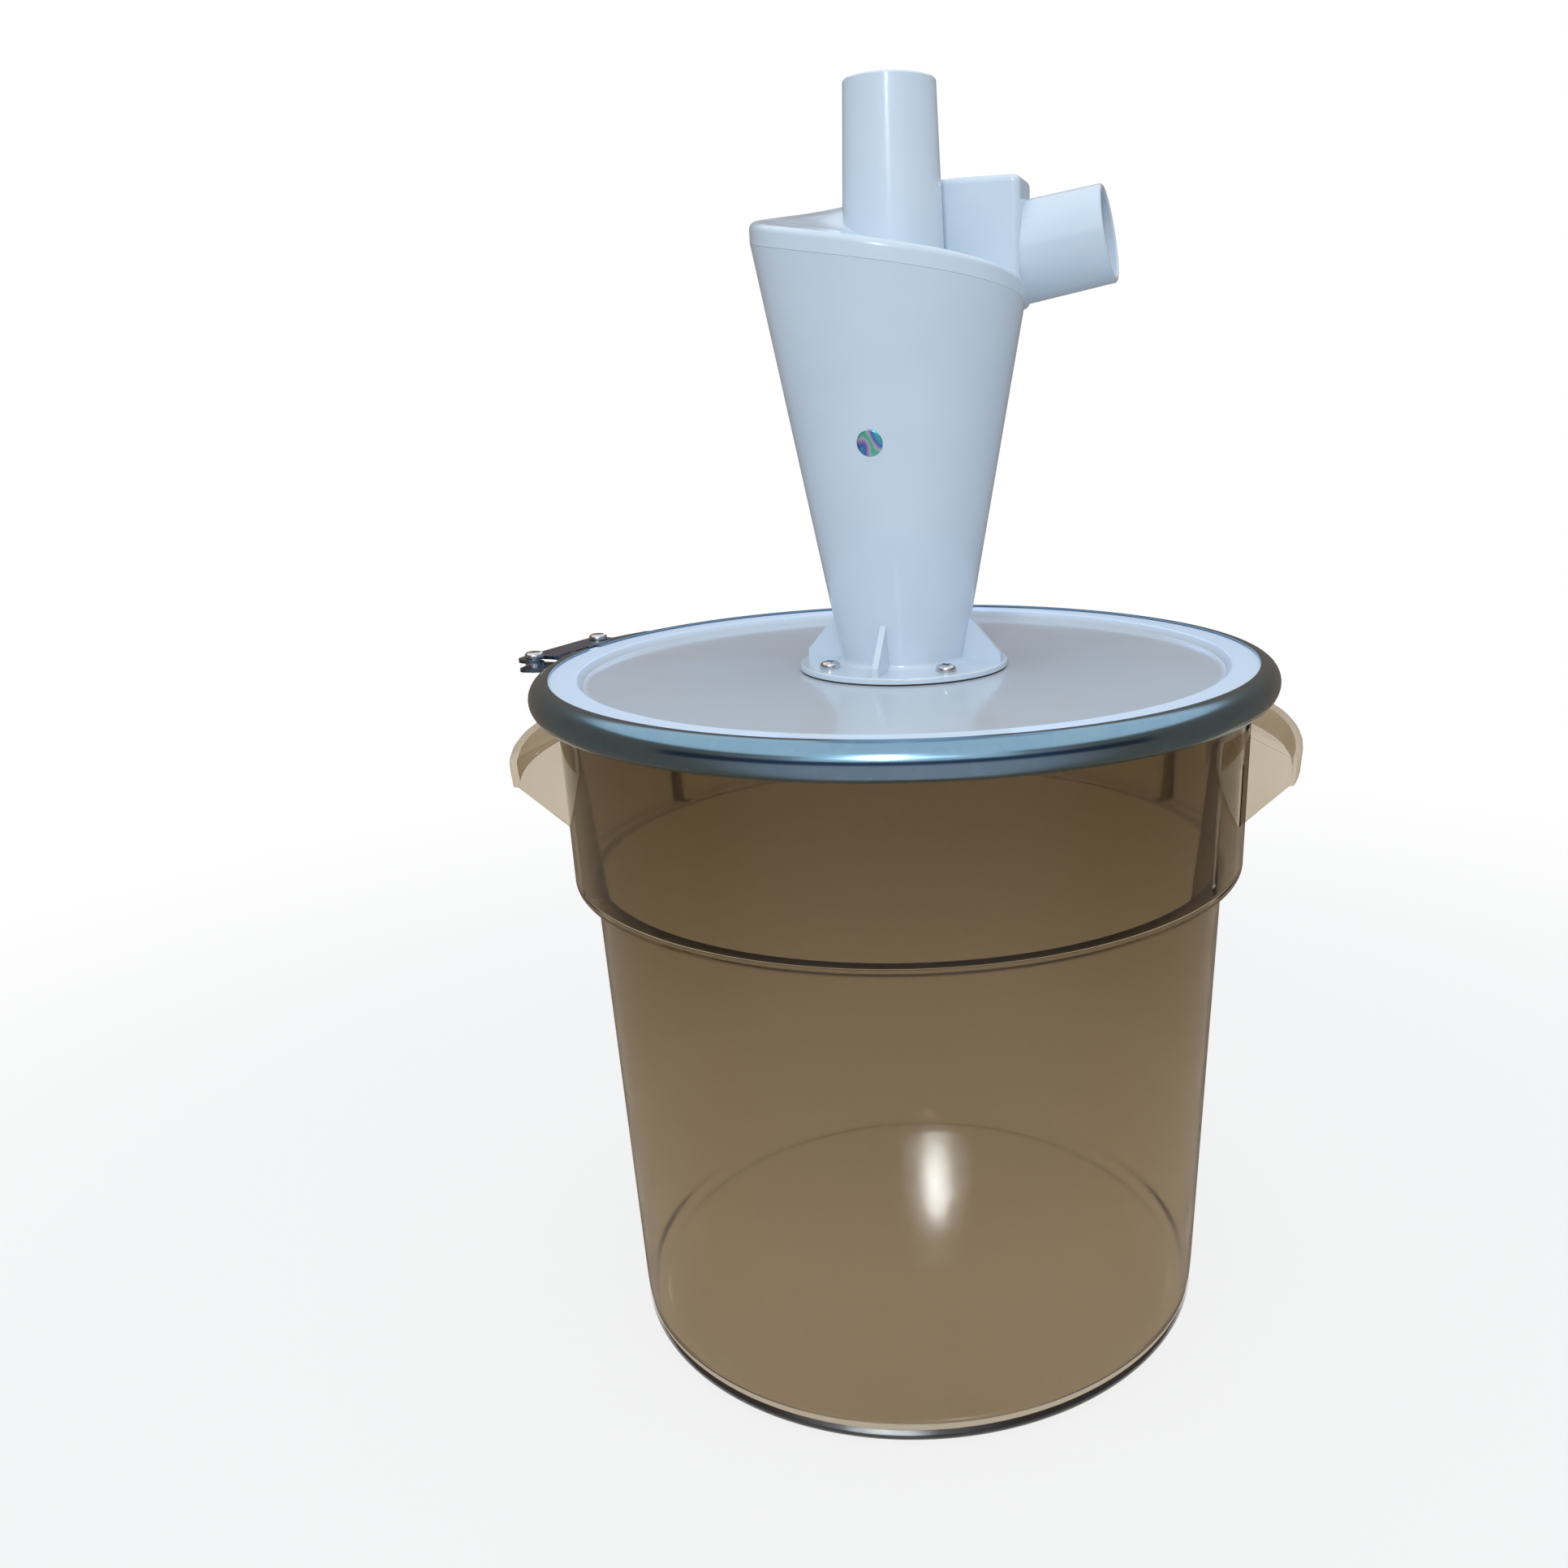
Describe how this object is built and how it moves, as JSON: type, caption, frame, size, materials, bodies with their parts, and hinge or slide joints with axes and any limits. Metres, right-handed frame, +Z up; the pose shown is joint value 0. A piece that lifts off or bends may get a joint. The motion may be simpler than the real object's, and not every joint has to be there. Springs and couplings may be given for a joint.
{
  "type": "cyclone dust separator",
  "caption": "White cyclone separator with a tangential inlet and a top outlet, flanged to the lid of a clear stepped dust bucket that a steel lever ring clamps shut.",
  "frame": {"origin": "centre of the bucket's foot, on the floor", "axes": "+Z up along the bucket's axis, -Y towards the side that the picture shows, +X to the inlet pipe's side"},
  "size_m": [0.4371, 0.4019, 0.664],
  "materials": {
    "clear_plastic": "clear, polished",
    "white_plastic": "gloss moulded",
    "gasket_rubber": "matt",
    "galvanised_steel": "bright galvanised",
    "rivet_steel": "zinc plated"
  },
  "bodies": {
    "vessel": {"bucket": "clear_plastic", "lid": "white_plastic", "lid_gasket": "gasket_rubber", "clamp_ring": "galvanised_steel", "hinge_bracket": "galvanised_steel", "catch_bracket": "galvanised_steel", "pivot_rivet": "rivet_steel", "catch_pin": "rivet_steel", "cyclone_cone": "white_plastic", "cyclone_head": "white_plastic", "flange_gasket": "gasket_rubber", "flange_screws": "rivet_steel", "flange_washers": "rivet_steel", "flange_nuts": "rivet_steel"},
    "lever": {"latch_lever": "galvanised_steel", "link_rivet": "rivet_steel"},
    "link": {"latch_link": "galvanised_steel"}
  },
  "joints": [
    {"name": "lever_hinge", "type": "hinge", "parent": "vessel", "child": "lever", "pos_m": [-0.20355, 0.08348, 0.3693], "axis": [0, 0, 1], "range_deg": [0, 105]},
    {"name": "link_hinge", "type": "hinge", "parent": "lever", "child": "link", "pos_m": [-0.18998, 0.10487, 0.3716], "axis": [0, 0, 1], "range_deg": [-105, 0]}
  ],
  "couplings": [
    {"joint": "link_hinge", "follows": "lever_hinge", "ratio": -1}
  ]
}
